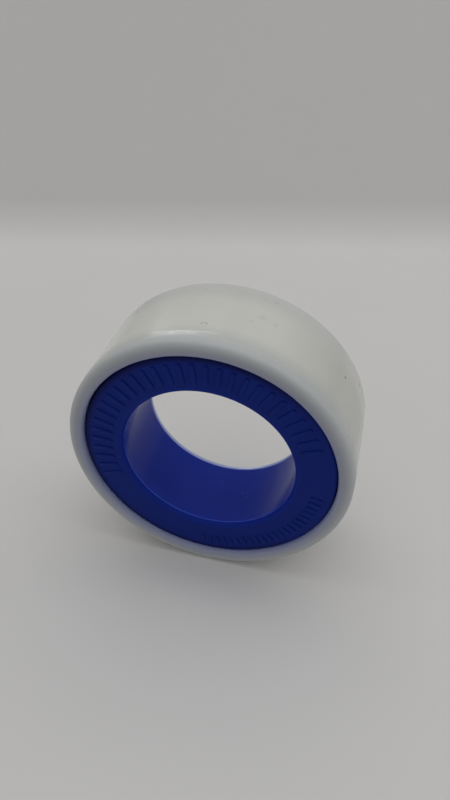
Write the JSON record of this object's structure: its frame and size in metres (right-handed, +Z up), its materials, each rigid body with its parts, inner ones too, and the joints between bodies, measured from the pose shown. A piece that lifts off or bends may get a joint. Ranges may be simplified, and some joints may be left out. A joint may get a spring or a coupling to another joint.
{
  "type": "thread seal tape roll",
  "caption": "Roll of thread seal tape: a flanged spool with tape wound on its open hub, turning in and pulling out of a round milky plastic case.",
  "frame": {"origin": "middle of the roll: on the axis, halfway across its width", "axes": "+Y along the roll's axis, from the spool's flange to the case's back; the flange faces -Y; +Z up, with the roll standing on the case's round wall"},
  "size_m": [0.053, 0.0198, 0.053],
  "materials": {
    "milky_plastic": "moulded, milky, satin gloss",
    "blue_plastic": "moulded, satin",
    "seal_tape": "matte film"
  },
  "bodies": {
    "case": {"case": "milky_plastic"},
    "tape_end": {"tape_end": "seal_tape"},
    "spool": {"spool": "blue_plastic", "tape_pack": "seal_tape"}
  },
  "joints": [
    {"name": "spool_pull_out", "type": "slide", "parent": "case", "child": "tape_end", "axis": [0, -1, 0], "range_m": [0, 0.02]},
    {"name": "spool_turn", "type": "hinge", "parent": "tape_end", "child": "spool", "pos_m": [0, 0, 0], "axis": [0, 1, 0], "continuous": true}
  ]
}
